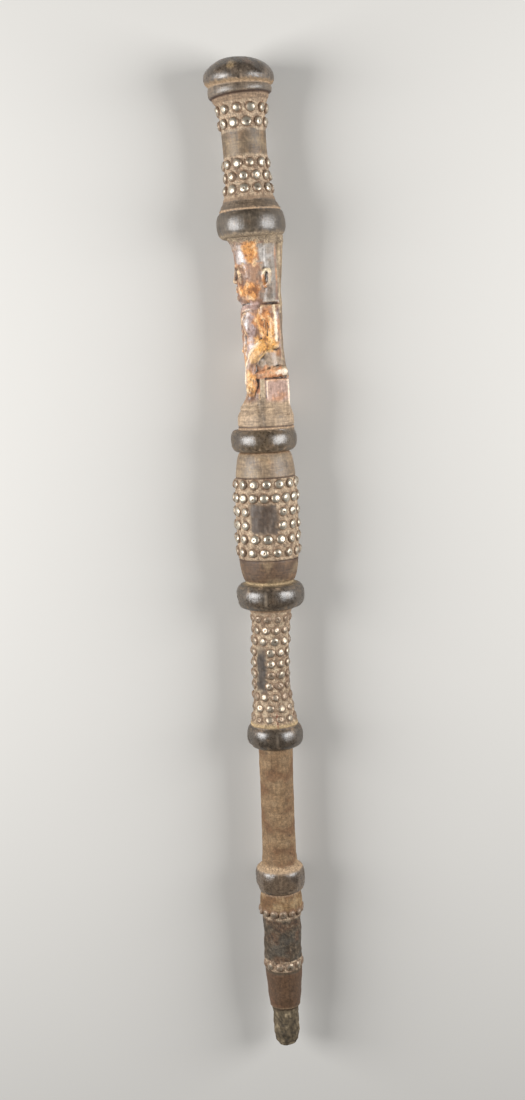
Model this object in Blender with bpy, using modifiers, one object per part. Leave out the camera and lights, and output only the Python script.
"""A carved wooden scepter: one slightly bent piece of wood with turned rings, a seated figure,
a swelling barrel and a tapered foot, studded with domed brass tacks.

It lies along X with its knob towards -X and its tip towards +X, +Z up. The figure looks towards -Y.
Lengths are in metres. A station is a distance from the knob's end, measured along the staff.
"""

import math

import bmesh
import bpy
from mathutils import Matrix, Vector

MM = 0.001

# How finely round forms are cut into flats
SIDES = 20
HEAD_SIDES = 6
FUSED_HEAD_SIDES = 5

# Lengths of the staff's stretches, from the knob to the tip
KNOB_DOME_LENGTH = 16.5 * MM
KNOB_SHOULDER_LENGTH = 5.0 * MM
KNOB_STEP_LENGTH = 7.5 * MM
GRIP_LENGTH = 79.0 * MM
COLLAR_LENGTH = 7.5 * MM
UPPER_RING_LENGTH = 20.0 * MM
FIGURE_LENGTH = 129.5 * MM
DRUM_LENGTH = 18.5 * MM
BASE_RING_LENGTH = 18.0 * MM
BARREL_LENGTH = 105.0 * MM
MIDDLE_RING_LENGTH = 20.5 * MM
LOWER_GRIP_LENGTH = 96.5 * MM
LOWER_RING_LENGTH = 18.5 * MM
SHAFT_LENGTH = 101.0 * MM
FOOT_RING_LENGTH = 21.0 * MM
FOOT_COLLAR_LENGTH = 28.0 * MM
FOOT_BAND_LENGTH = 41.0 * MM
TAPER_LENGTH = 32.0 * MM
TIP_LENGTH = 35.0 * MM

# Radii of the turned wood
KNOB_RADIUS = 27.4 * MM
KNOB_STEP_RADIUS = 24.6 * MM
KNOB_NECK_RADIUS = 22.4 * MM
GRIP_RADIUS = 17.0 * MM
GRIP_FOOT_RADIUS = 20.4 * MM
COLLAR_RADIUS = 24.0 * MM
UPPER_RING_RADIUS = 26.8 * MM
CORE_RADIUS = 8.0 * MM
DRUM_RADIUS = 22.2 * MM
BASE_RING_RADIUS = 26.2 * MM
BARREL_RADIUS = 24.8 * MM
BARREL_TOP_RADIUS = 20.2 * MM
BARREL_FOOT_RADIUS = 19.4 * MM
MIDDLE_RING_RADIUS = 27.5 * MM
LOWER_GRIP_RADIUS = 14.7 * MM
LOWER_GRIP_TOP_RADIUS = 18.6 * MM
LOWER_GRIP_FOOT_RADIUS = 18.8 * MM
LOWER_RING_RADIUS = 22.8 * MM
SHAFT_RADIUS = 13.6 * MM
SHAFT_FOOT_RADIUS = 16.0 * MM
FOOT_RING_RADIUS = 20.4 * MM
FOOT_COLLAR_RADIUS = 17.3 * MM
FOOT_BAND_RADIUS = 15.8 * MM
TAPER_END_RADIUS = 12.4 * MM
TIP_RADIUS = 10.4 * MM
TIP_END_RADIUS = 9.3 * MM

# Depth of the crease beside a ring, below the wood that it rises from
CREASE_DEPTH = 0.8 * MM

# The blank's bend: its centre line swings sideways by this much, a third of the way down
BOW = 6.0 * MM

# The lower grip stands this far in front of the bent line at its middle
LOWER_GRIP_SETOFF = 1.4 * MM

# The knob is cut a little askew, by this many degrees at its end, fading out along the grip
KNOB_TILT = -3.5
KNOB_TILT_REACH = 60.0 * MM

# The centre line's direction is taken between two places this far before and after a station
SLOPE_REACH = 0.5 * MM

# The drum under the figure stands this far behind the staff's centre line
DRUM_SETBACK = 2.5 * MM

# The knob and the middle ring are worn flat underneath, by this much at the knob
KNOB_FLAT_DEPTH = 0.1 * MM

# Domed tack heads
HEAD_RADIUS = 4.15 * MM
HEAD_HEIGHT = 2.0 * MM
HEAD_CROWN_SHARE = 0.5
HEAD_GAP = 0.3 * MM
HEAD_SINK = 0.7 * MM
SMALL_HEAD_RADIUS = 3.3 * MM

# Rows of tacks on the grip: two under the knob and three above the collar
GRIP_TACK_COUNT = 11
TOP_BAND_ROW_COUNT = 2
TOP_BAND_INSET = 10.5 * MM
TOP_BAND_PITCH = 10.4 * MM
SECOND_BAND_ROW_COUNT = 3
SECOND_BAND_INSET = 8.9 * MM
SECOND_BAND_PITCH = 9.5 * MM

# Where the first tack of each row stands, in degrees from +Z towards +Y: the rows were set by eye
GRIP_ROW_ANGLES = (-11.0, 9.5, 9.5, -9.5, -9.5)
BARREL_ROW_ANGLES = (1.0, -4.4, 5.8, 4.5, -0.4, -7.6)
LOWER_ROW_ANGLES = (-10.0, -17.0, 11.0, -1.0, -1.0, -1.0, -8.0, 8.0, -9.0, -12.0)
FOOT_ROW_ANGLES = (4.0, -12.5)

# How many tacks each row holds, where that changes from row to row
BARREL_TACK_COUNTS = (15, 17, 15, 15, 15, 15)
LOWER_TACK_COUNTS = (12, 11, 10, 11, 11, 11, 11, 11, 11, 12)
FOOT_TACK_COUNTS = (14, 11)

# Rows of tacks on the barrel, with three bare panels in its middle rows
BARREL_ROW_COUNT = 6
BARREL_TOP_INSET = 24.6 * MM
BARREL_FOOT_INSET = 26.4 * MM
BARREL_PANEL_ROWS = (2, 3)
BARREL_PANEL_PLACES = (0, 4, 5, 9, 10, 14)

# Rows of tacks on the lower grip, with three bare strips in its middle rows
LOWER_ROW_COUNT = 10
LOWER_TOP_INSET = 7.8 * MM
LOWER_FOOT_INSET = 6.8 * MM
LOWER_STRIP_ROWS = (3, 4, 5, 6)
LOWER_STRIP_PLACES = (3, 7, 10)

# Single rows of tacks on the foot: small heads on the collar's step, and a row below the band
FOOT_COLLAR_ROW_INSET = 11.5 * MM
FOOT_BAND_ROW_INSET = 6.5 * MM

# The figure's forms are given in parts, so many to its height
FIGURE_PARTS = 129.5

# The forms are blended at this grain and then cut to this share of their faces
FIGURE_GRAIN_SHARE = 0.0115
FIGURE_FACES_SHARE = 0.064
MIRROR_MERGE = 0.1 * MM

STRETCHES = (
    ("knob dome", KNOB_DOME_LENGTH),
    ("knob shoulder", KNOB_SHOULDER_LENGTH),
    ("knob step", KNOB_STEP_LENGTH),
    ("grip", GRIP_LENGTH),
    ("collar", COLLAR_LENGTH),
    ("upper ring", UPPER_RING_LENGTH),
    ("figure", FIGURE_LENGTH),
    ("drum", DRUM_LENGTH),
    ("base ring", BASE_RING_LENGTH),
    ("barrel", BARREL_LENGTH),
    ("middle ring", MIDDLE_RING_LENGTH),
    ("lower grip", LOWER_GRIP_LENGTH),
    ("lower ring", LOWER_RING_LENGTH),
    ("shaft", SHAFT_LENGTH),
    ("foot ring", FOOT_RING_LENGTH),
    ("foot collar", FOOT_COLLAR_LENGTH),
    ("foot band", FOOT_BAND_LENGTH),
    ("taper", TAPER_LENGTH),
    ("tip", TIP_LENGTH),
)
STAFF_LENGTH = sum(length for _, length in STRETCHES)
AXIS_HEIGHT = KNOB_RADIUS * math.cos(math.pi / SIDES) - KNOB_FLAT_DEPTH


def start_of(name):
    """Station where a stretch begins."""
    station = 0.0
    for stretch, length in STRETCHES:
        if stretch == name:
            return station
        station += length
    raise ValueError(name)


def end_of(name):
    """Station where a stretch ends."""
    return start_of(name) + dict(STRETCHES)[name]


def swell(name, before, crest, after, steps, fullness=2.4):
    """Profile of a ring or a barrel: it rises from one radius to its crest and falls to another."""
    start = start_of(name)
    length = dict(STRETCHES)[name]
    points = []
    for step in range(steps + 1):
        share = step / steps
        foot = before + (after - before) * share
        rise = (1 - abs(2 * share - 1) ** fullness) ** (1 / fullness)
        points.append((start + length * share, foot + (crest - foot) * rise))
    return points


def dome(name, radius, steps, fullness=2.2):
    """Profile of the knob's rounded end, from its pole to its widest place."""
    length = dict(STRETCHES)[name]
    points = []
    for step in range(steps + 1):
        share = (step / steps) ** 1.7
        points.append((length * share, radius * (1 - (1 - share) ** fullness) ** (1 / fullness)))
    return points


def along(name, *places):
    """Profile of a stretch given by (share of its length, radius) pairs."""
    start = start_of(name)
    length = dict(STRETCHES)[name]
    return [(start + length * share, radius) for share, radius in places]


def staff_profile():
    """The turned outline as (station, radius), from the knob's pole to the tip's pole."""
    crease = CREASE_DEPTH
    points = dome("knob dome", KNOB_RADIUS, 5)
    points += along("knob shoulder", (0.6, KNOB_RADIUS - 0.3 * crease), (1.0, KNOB_STEP_RADIUS))
    points += swell("knob step", KNOB_STEP_RADIUS - crease, KNOB_STEP_RADIUS, KNOB_NECK_RADIUS, 3)[1:]
    points += along(
        "grip",
        (0.11, 0.7 * GRIP_RADIUS + 0.3 * KNOB_NECK_RADIUS),
        (0.24, GRIP_RADIUS + 0.6 * crease),
        (0.5, GRIP_RADIUS),
        (0.8, GRIP_RADIUS),
        (0.92, 0.6 * GRIP_RADIUS + 0.4 * GRIP_FOOT_RADIUS),
        (1.0, GRIP_FOOT_RADIUS),
    )
    points += along("collar", (0.5, 0.4 * GRIP_FOOT_RADIUS + 0.6 * COLLAR_RADIUS), (0.93, COLLAR_RADIUS))
    points += swell("upper ring", COLLAR_RADIUS - crease, UPPER_RING_RADIUS, GRIP_FOOT_RADIUS, 5)
    points += along("figure", (0.02, CORE_RADIUS), (1.0, CORE_RADIUS))
    points += along("drum", (0.97, CORE_RADIUS))
    points += swell("base ring", DRUM_RADIUS - crease, BASE_RING_RADIUS, BARREL_TOP_RADIUS - crease, 5)
    points += swell("barrel", BARREL_TOP_RADIUS, BARREL_RADIUS, BARREL_FOOT_RADIUS, 7)
    points += swell("middle ring", BARREL_FOOT_RADIUS, MIDDLE_RING_RADIUS, LOWER_GRIP_TOP_RADIUS, 6)[1:]
    points += along(
        "lower grip",
        (0.06, 0.7 * LOWER_GRIP_RADIUS + 0.3 * LOWER_GRIP_TOP_RADIUS),
        (0.2, LOWER_GRIP_RADIUS),
        (0.7, LOWER_GRIP_RADIUS),
        (0.9, 0.6 * LOWER_GRIP_RADIUS + 0.4 * LOWER_GRIP_FOOT_RADIUS),
        (1.0, LOWER_GRIP_FOOT_RADIUS),
    )
    points += swell("lower ring", LOWER_GRIP_FOOT_RADIUS, LOWER_RING_RADIUS, SHAFT_RADIUS, 5)[1:]
    points += along(
        "shaft",
        (0.5, SHAFT_RADIUS),
        (0.97, SHAFT_RADIUS + 0.3 * crease),
        (1.0, SHAFT_FOOT_RADIUS),
    )
    points += swell("foot ring", SHAFT_FOOT_RADIUS, FOOT_RING_RADIUS, FOOT_BAND_RADIUS, 5)[1:]
    points += along(
        "foot collar",
        (0.3, FOOT_COLLAR_RADIUS),
        (0.55, FOOT_COLLAR_RADIUS),
        (0.68, FOOT_BAND_RADIUS),
        (1.0, FOOT_BAND_RADIUS),
    )
    points += along("foot band", (0.8, 0.9 * FOOT_BAND_RADIUS + 0.1 * TAPER_END_RADIUS))
    points += along(
        "taper",
        (0.0, 0.8 * FOOT_BAND_RADIUS + 0.2 * TAPER_END_RADIUS),
        (0.6, 0.4 * FOOT_BAND_RADIUS + 0.6 * TAPER_END_RADIUS),
        (0.97, TAPER_END_RADIUS),
    )
    points += along(
        "tip",
        (0.03, TIP_RADIUS),
        (0.6, TIP_RADIUS),
        (0.87, TIP_END_RADIUS),
        (0.97, 0.72 * TIP_END_RADIUS),
        (1.0, 0.0),
    )
    return points


def wood_radius(station):
    """Radius of the turned wood at a station."""
    points = staff_profile()
    for (before, low), (after, high) in zip(points, points[1:]):
        if before <= station <= after and after > before:
            return low + (high - low) * (station - before) / (after - before)
    return points[-1][1]


def bow(station):
    """How far the blank's bend carries the centre line towards +Y at a station."""
    share = station / STAFF_LENGTH
    return BOW * 27 / 4 * share * (1 - share) ** 2


def bend(station):
    """How far the centre line lies towards +Y at a station, with the lower grip's set-off."""
    first = start_of("middle ring") + MIDDLE_RING_LENGTH / 2
    part_way = min(max((station - first) / (end_of("lower ring") - first), 0.0), 1.0)
    return bow(station) - LOWER_GRIP_SETOFF * math.sin(math.pi * part_way) ** 2


def cross_section(station):
    """Placement of the cross-section at a station: its centre on the bent line, turned with the bow."""
    slope = (bow(station + SLOPE_REACH) - bow(station - SLOPE_REACH)) / (2 * SLOPE_REACH)
    askew = math.radians(KNOB_TILT) * max(0.0, 1 - station / KNOB_TILT_REACH)
    centre = Vector((station - STAFF_LENGTH / 2, bend(station), AXIS_HEIGHT))
    return Matrix.Translation(centre) @ Matrix.Rotation(math.atan(slope) + askew, 4, "Z")


def new_collection(name):
    """A collection linked to the scene."""
    collection = bpy.data.collections.new(name)
    bpy.context.scene.collection.children.link(collection)
    return collection


def new_object(name, mesh, collection):
    """An object with a mesh, in a collection."""
    item = bpy.data.objects.new(name, mesh)
    collection.objects.link(item)
    return item


def bake(item):
    """Replace an object's mesh by the evaluated one, and clear its modifiers."""
    bpy.context.view_layer.update()
    graph = bpy.context.evaluated_depsgraph_get()
    mesh = bpy.data.meshes.new_from_object(item.evaluated_get(graph))
    item.modifiers.clear()
    item.data = mesh


def combine(item, other, operation):
    """Boolean of two objects, kept in the first. The second is removed."""
    modifier = item.modifiers.new(operation.lower(), "BOOLEAN")
    modifier.operation = operation
    modifier.object = other
    bake(item)
    bpy.data.objects.remove(other)


def turned(name, profile, collection, sides=SIDES):
    """A solid turned about Z from (station, radius) pairs, laid down so that its stations run along +X."""
    mesh = bpy.data.meshes.new(name)
    shape = bmesh.new()
    corners = [shape.verts.new((radius, 0.0, -station)) for station, radius in profile]
    for first, second in zip(corners, corners[1:]):
        shape.edges.new((first, second))
    shape.to_mesh(mesh)
    shape.free()
    item = new_object(name, mesh, collection)
    screw = item.modifiers.new("turn", "SCREW")
    screw.axis = "Z"
    screw.steps = sides
    screw.render_steps = sides
    screw.use_merge_vertices = True
    screw.merge_threshold = 0.0001
    screw.use_smooth_shade = True
    bake(item)
    half_flat = math.pi / sides
    item.data.transform(Matrix.Rotation(half_flat, 4, "Z"))
    item.data.transform(Matrix.Rotation(-math.pi / 2, 4, "Y"))
    return item


class FigureForms:
    """Rounded forms of the figure, gathered in one mesh.

    Places are (up, front, side), in parts of the figure's height, from the drum's top on the centre line.
    """

    def __init__(self):
        self.shape = bmesh.new()
        self.part = FIGURE_LENGTH / FIGURE_PARTS

    def point(self, up, front, side):
        """A place on the figure as a point of the straight staff, with stations along +X from 0."""
        return Vector((end_of("figure") - up * self.part, -front * self.part, side * self.part))

    def ball(self, place, half):
        """An ellipsoid with given half sizes."""
        size = Matrix.Diagonal((half[0] * self.part, half[1] * self.part, half[2] * self.part, 1.0))
        matrix = Matrix.Translation(self.point(*place)) @ size
        bmesh.ops.create_uvsphere(self.shape, u_segments=16, v_segments=10, radius=1.0, matrix=matrix)

    def block(self, low, high):
        """A box between two corners."""
        first = self.point(*low)
        second = self.point(*high)
        edges = [abs(end - start) for start, end in zip(first, second)]
        matrix = Matrix.Translation((first + second) / 2) @ Matrix.Diagonal((*edges, 1.0))
        bmesh.ops.create_cube(self.shape, size=1.0, matrix=matrix)

    def limb(self, places, radii):
        """A limb through several places, with a ball at each and a tapered length between."""
        for place, radius in zip(places, radii):
            self.ball(place, (radius,) * 3)
        for number in range(len(places) - 1):
            first = self.point(*places[number])
            second = self.point(*places[number + 1])
            turn = (second - first).to_track_quat("Z", "Y").to_matrix().to_4x4()
            bmesh.ops.create_cone(
                self.shape,
                cap_ends=True,
                segments=12,
                radius1=radii[number] * self.part,
                radius2=radii[number + 1] * self.part,
                depth=(second - first).length,
                matrix=Matrix.Translation((first + second) / 2) @ turn,
            )

    def column(self, levels, fullness):
        """An upright form through levels of (up, front, back, half width); a fullness of 2 is an ellipse."""
        sides = 24
        rings = []
        for up, front, back, half in levels:
            ring = []
            for side in range(sides):
                turn = 2 * math.pi * side / sides
                across = math.copysign(abs(math.cos(turn)) ** (2 / fullness), math.cos(turn))
                aside = math.copysign(abs(math.sin(turn)) ** (2 / fullness), math.sin(turn))
                place = (up, (front + back) / 2 + across * (front - back) / 2, aside * half)
                ring.append(self.shape.verts.new(self.point(*place)))
            rings.append(ring)
        for lower, upper in zip(rings, rings[1:]):
            for side in range(sides):
                after = (side + 1) % sides
                self.shape.faces.new((lower[side], lower[after], upper[after], upper[side]))
        self.shape.faces.new(rings[0][::-1])
        self.shape.faces.new(rings[-1])


def body_forms(forms):
    """The compact mass of head, trunk and seat, widening under the upper ring."""
    forms.column(
        (
            (4.0, 12.0, -20.0, 14.5),
            (20.0, 11.4, -19.0, 14.0),
            (36.0, 11.8, -17.2, 13.6),
            (58.0, 12.8, -17.2, 14.4),
            (74.5, 12.4, -17.2, 14.6),
            (77.0, 11.6, -16.8, 13.4),
            (80.0, 11.8, -16.8, 13.4),
            (82.5, 13.0, -17.0, 14.6),
            (96.0, 13.5, -17.4, 15.2),
            (104.0, 13.0, -17.6, 15.2),
            (110.0, 14.6, -17.8, 15.3),
            (118.0, 15.4, -18.4, 15.4),
            (124.0, 16.2, -19.6, 15.9),
            (131.5, 21.6, -22.4, 20.8),
        ),
        2.6,
    )
    forms.ball((44.0, 4.6, 0.0), (10.0, 8.0, 10.5))


def head_forms(forms):
    """Face, ears, the cap of hair and the flat post that stands behind it."""
    forms.limb(((107.0, 13.6, 0.0), (97.2, 15.0, 0.0)), (1.6, 1.9))
    forms.ball((90.6, 13.4, 0.0), (2.6, 1.6, 4.2))
    forms.ball((84.2, 11.8, 0.0), (3.2, 2.8, 4.8))
    forms.column(
        (
            (79.4, -3.4, -18.4, 15.8),
            (84.0, -2.6, -18.8, 16.6),
            (94.0, -6.0, -18.9, 16.6),
            (112.0, -3.2, -19.4, 16.5),
            (129.0, -5.0, -21.0, 17.0),
        ),
        3.4,
    )
    forms.column(
        (
            (21.0, -10.0, -22.0, 11.0),
            (44.0, -10.0, -19.2, 11.2),
            (77.0, -10.0, -20.2, 11.6),
            (87.0, -10.0, -19.8, 11.8),
            (110.0, -10.0, -22.2, 12.8),
            (130.0, -10.0, -24.2, 13.4),
        ),
        4.0,
    )
    for side in (-1, 1):
        forms.ball((103.8, 11.6, 5.9 * side), (2.4, 1.9, 4.1))
        forms.ball((98.0, -9.2, 16.4 * side), (6.2, 3.2, 1.3))


def arm_forms(forms, side):
    """Squared shoulder, upper arm, forearm and the long hand over the knee."""
    forms.block((70.0, -18.6, 5.0 * side), (76.4, -2.2, 16.6 * side))
    forms.limb(((71.0, -7.0, 12.4 * side), (66.0, -11.0, 13.2 * side)), (4.6, 4.6))
    forms.limb(((71.0, -13.4, 13.6 * side), (48.0, -12.2, 13.8 * side)), (4.1, 4.1))
    forms.limb(
        ((50.0, -10.6, 13.2 * side), (46.4, -3.6, 13.2 * side), (39.8, 2.6, 13.0 * side), (25.0, 7.8, 12.4 * side)),
        (5.2, 5.1, 4.9, 4.1),
    )
    forms.ball((17.6, 7.9, 12.5 * side), (9.4, 4.4, 4.2))


def leg_forms(forms, side):
    """Buttock, thigh, shin and the foot on the sloping base."""
    forms.limb(((22.9, 8.0, 10.4 * side), (24.6, -9.0, 13.2 * side), (26.0, -17.2, 12.4 * side)), (4.0, 3.6, 4.4))
    forms.ball((25.8, -16.6, 6.0 * side), (4.5, 5.0, 10.0))
    forms.limb(((20.0, 7.0, 9.6 * side), (4.0, 7.4, 10.0 * side)), (4.6, 4.2))
    forms.limb(((3.6, 9.0, 10.2 * side), (-2.4, 13.8, 10.6 * side)), (4.0, 3.4))


def stool_forms(forms):
    """The block stool with the narrow upright in front of it."""
    forms.block((-6.0, -21.8, -16.8), (20.2, -3.6, 16.8))
    forms.block((-4.0, -3.6, -15.6), (20.6, 0.6, 15.6))


def mirror_halves(item):
    """Make a mesh the same on both sides of z = 0."""
    shape = bmesh.new()
    shape.from_mesh(item.data)
    everything = shape.verts[:] + shape.edges[:] + shape.faces[:]
    bmesh.ops.symmetrize(shape, input=everything, direction="Z", dist=MIRROR_MERGE)
    shape.to_mesh(item.data)
    shape.free()


def seated_figure(collection):
    """The seated figure on its block stool, blended into one soft closed form."""
    forms = FigureForms()
    body_forms(forms)
    head_forms(forms)
    for side in (-1, 1):
        arm_forms(forms, side)
        leg_forms(forms, side)
    stool_forms(forms)
    mesh = bpy.data.meshes.new("figure")
    forms.shape.to_mesh(mesh)
    forms.shape.free()
    figure = new_object("figure", mesh, collection)
    remesh = figure.modifiers.new("blend", "REMESH")
    remesh.mode = "VOXEL"
    remesh.voxel_size = FIGURE_GRAIN_SHARE * FIGURE_LENGTH
    smooth = figure.modifiers.new("soften", "SMOOTH")
    smooth.factor = 0.5
    smooth.iterations = 2
    decimate = figure.modifiers.new("facets", "DECIMATE")
    decimate.ratio = FIGURE_FACES_SHARE
    bake(figure)
    mirror_halves(figure)
    return figure


def base_drum(collection):
    """The drum that the figure sits on, flared at its top and set back from the centre line."""
    top = start_of("drum")
    profile = [
        (top - 0.08 * FIGURE_LENGTH, 0.0),
        (top - 0.08 * FIGURE_LENGTH, 0.66 * DRUM_RADIUS),
        (top - 0.03 * FIGURE_LENGTH, 0.73 * DRUM_RADIUS),
        (top + 0.08 * DRUM_LENGTH, 0.84 * DRUM_RADIUS),
        (top + 0.30 * DRUM_LENGTH, 0.94 * DRUM_RADIUS),
        (top + 0.43 * DRUM_LENGTH, DRUM_RADIUS),
        (top + 1.1 * DRUM_LENGTH, DRUM_RADIUS),
        (top + 1.1 * DRUM_LENGTH, 0.0),
    ]
    drum = turned("drum", profile, collection)
    drum.data.transform(Matrix.Translation((0.0, DRUM_SETBACK, 0.0)))
    return drum


def follow_bend(item):
    """Move a straight mesh, whose stations run along +X from 0, onto the bent centre line."""
    for vertex in item.data.vertices:
        x, y, z = vertex.co
        vertex.co = cross_section(x) @ Vector((0.0, y, z))


def wood_slope(station):
    """How fast the wood's radius grows along the staff, under a tack head."""
    reach = HEAD_RADIUS
    return (wood_radius(station + reach) - wood_radius(station - reach)) / (2 * reach)


def wood_bulge(station):
    """How far the wood rises above the plane that a tack head would rest on at a station."""
    heights = []
    for step in (-1.0, -0.5, 0.0, 0.5, 1.0):
        reach = step * HEAD_RADIUS
        heights.append(wood_radius(station + reach) - wood_radius(station) - wood_slope(station) * reach)
    return max(heights)


def head_placement(station, angle, lift):
    """Placement of a tack head on the wood, at an angle from +Z towards +Y."""
    return (
        cross_section(station)
        @ Matrix.Rotation(-math.radians(angle), 4, "X")
        @ Matrix.Translation((0.0, 0.0, wood_radius(station) + lift))
        @ Matrix.Rotation(-math.atan(wood_slope(station)), 4, "Y")
    )


def head_shape(shape, sides, radius, crown_radius, depth, matrix):
    """Add a low head with few sides to a mesh: its underside is at the matrix's origin."""
    bmesh.ops.create_cone(
        shape,
        cap_ends=True,
        segments=sides,
        radius1=radius,
        radius2=crown_radius,
        depth=depth,
        matrix=matrix @ Matrix.Translation((0.0, 0.0, depth / 2)),
    )


def tack_row(station, count, first_angle, bare=()):
    """Placements (station, angle) of one row of tacks, without those at bare places."""
    pitch = 360.0 / count
    return [(station, first_angle + pitch * place) for place in range(count) if place not in bare]


def spread(first, last, rows):
    """Stations of rows spaced evenly from the first to the last."""
    return [first + (last - first) * row / (rows - 1) for row in range(rows)]


def grip_rows():
    """Rows of tacks on the grip, nearest the knob first."""
    top = start_of("grip") + TOP_BAND_INSET
    stations = [top + TOP_BAND_PITCH * row for row in range(TOP_BAND_ROW_COUNT)]
    last = end_of("grip") - SECOND_BAND_INSET
    stations += [last - SECOND_BAND_PITCH * row for row in reversed(range(SECOND_BAND_ROW_COUNT))]
    rows = []
    for row, station in enumerate(stations):
        first_angle = GRIP_ROW_ANGLES[row % len(GRIP_ROW_ANGLES)]
        rows.append(tack_row(station, GRIP_TACK_COUNT, first_angle))
    return rows


def barrel_places():
    """Placements of the tacks on the barrel."""
    places = []
    first = start_of("barrel") + BARREL_TOP_INSET
    last = end_of("barrel") - BARREL_FOOT_INSET
    for row, station in enumerate(spread(first, last, BARREL_ROW_COUNT)):
        bare = BARREL_PANEL_PLACES if row in BARREL_PANEL_ROWS else ()
        count = BARREL_TACK_COUNTS[row % len(BARREL_TACK_COUNTS)]
        places += tack_row(station, count, BARREL_ROW_ANGLES[row % len(BARREL_ROW_ANGLES)], bare)
    return places


def lower_grip_places():
    """Placements of the tacks on the lower grip."""
    places = []
    first = start_of("lower grip") + LOWER_TOP_INSET
    last = end_of("lower grip") - LOWER_FOOT_INSET
    for row, station in enumerate(spread(first, last, LOWER_ROW_COUNT)):
        bare = LOWER_STRIP_PLACES if row in LOWER_STRIP_ROWS else ()
        count = LOWER_TACK_COUNTS[row % len(LOWER_TACK_COUNTS)]
        places += tack_row(station, count, LOWER_ROW_ANGLES[row % len(LOWER_ROW_ANGLES)], bare)
    return places


def fused_heads(collection):
    """The further tack heads as low cones sunk a little into the wood, all in one mesh."""
    large = barrel_places() + lower_grip_places()
    large += tack_row(end_of("foot band") - FOOT_BAND_ROW_INSET, FOOT_TACK_COUNTS[1], FOOT_ROW_ANGLES[1])
    small = tack_row(end_of("foot collar") - FOOT_COLLAR_ROW_INSET, FOOT_TACK_COUNTS[0], FOOT_ROW_ANGLES[0])
    shape = bmesh.new()
    for places, radius in ((large, HEAD_RADIUS), (small, SMALL_HEAD_RADIUS)):
        for station, angle in places:
            place = head_placement(station, angle, -HEAD_SINK)
            head_shape(shape, FUSED_HEAD_SIDES, radius, 0.0, HEAD_HEIGHT + HEAD_SINK, place)
    mesh = bpy.data.meshes.new("fused heads")
    shape.to_mesh(mesh)
    shape.free()
    return new_object("fused_heads", mesh, collection)


def floor_block(collection):
    """A block below z = 0, which cuts the two flat spots that the staff lies on."""
    mesh = bpy.data.meshes.new("floor block")
    shape = bmesh.new()
    reach = Matrix.Diagonal((2 * STAFF_LENGTH, 6 * KNOB_RADIUS, KNOB_RADIUS, 1.0))
    below = Matrix.Translation((0.0, 0.0, -KNOB_RADIUS / 2))
    bmesh.ops.create_cube(shape, size=1.0, matrix=below @ reach)
    shape.to_mesh(mesh)
    shape.free()
    block = new_object("floor_block", mesh, collection)
    block.hide_render = True
    block.display_type = "WIRE"
    return block


def finish(name, colour, roughness, metallic):
    """A plain material."""
    material = bpy.data.materials.new(name)
    material.use_nodes = True
    shader = material.node_tree.nodes["Principled BSDF"]
    shader.inputs["Base Color"].default_value = (*colour, 1.0)
    shader.inputs["Roughness"].default_value = roughness
    shader.inputs["Metallic"].default_value = metallic
    return material


def wooden_staff(collection, helpers, material):
    """The whole carved wood as one solid, with the fused tack heads."""
    staff = turned("wooden_staff", staff_profile(), collection)
    combine(staff, base_drum(helpers), "UNION")
    combine(staff, seated_figure(helpers), "UNION")
    follow_bend(staff)
    combine(staff, fused_heads(helpers), "UNION")
    combine(staff, floor_block(helpers), "DIFFERENCE")
    staff.data.materials.clear()
    staff.data.materials.append(material)
    staff.data.shade_smooth()
    staff.data.set_sharp_from_angle(angle=math.radians(40.0))
    return staff


def grip_tacks(collection, material):
    """The grip's tacks, each an object of its own that shares one mesh."""
    shape = bmesh.new()
    crown_radius = HEAD_CROWN_SHARE * HEAD_RADIUS
    head_shape(shape, HEAD_SIDES, HEAD_RADIUS, crown_radius, HEAD_HEIGHT, Matrix.Identity(4))
    mesh = bpy.data.meshes.new("tack head")
    shape.to_mesh(mesh)
    shape.free()
    mesh.materials.append(material)
    tacks = []
    for row, places in enumerate(grip_rows(), start=1):
        for number, (station, angle) in enumerate(places, start=1):
            tack = new_object(f"tack_row{row}_{number:02d}", mesh, collection)
            tack.matrix_world = head_placement(station, angle, HEAD_GAP + wood_bulge(station))
            tacks.append(tack)
    return tacks


def centre_on_origin(pieces, collection):
    """Hang all pieces on an empty and shift it, so that the origin is below the middle of the staff."""
    bpy.context.view_layer.update()
    corners = [piece.matrix_world @ vertex.co for piece in pieces for vertex in piece.data.vertices]
    middle_x = (min(corner.x for corner in corners) + max(corner.x for corner in corners)) / 2
    middle_y = (min(corner.y for corner in corners) + max(corner.y for corner in corners)) / 2
    origin = bpy.data.objects.new("scepter_origin", None)
    collection.objects.link(origin)
    for piece in pieces:
        piece.parent = origin
    origin.location = (-middle_x, -middle_y, 0.0)
    bpy.context.view_layer.update()


def main():
    """Build the scepter in an empty scene."""
    for item in list(bpy.data.objects):
        bpy.data.objects.remove(item)
    collection = new_collection("carved scepter")
    helpers = new_collection("cutters")
    wood = finish("dark wood", (0.115, 0.078, 0.050), 0.6, 0.0)
    brass = finish("aged brass", (0.20, 0.155, 0.105), 0.35, 0.9)
    pieces = [wooden_staff(collection, helpers, wood)]
    pieces += grip_tacks(collection, brass)
    centre_on_origin(pieces, collection)


main()
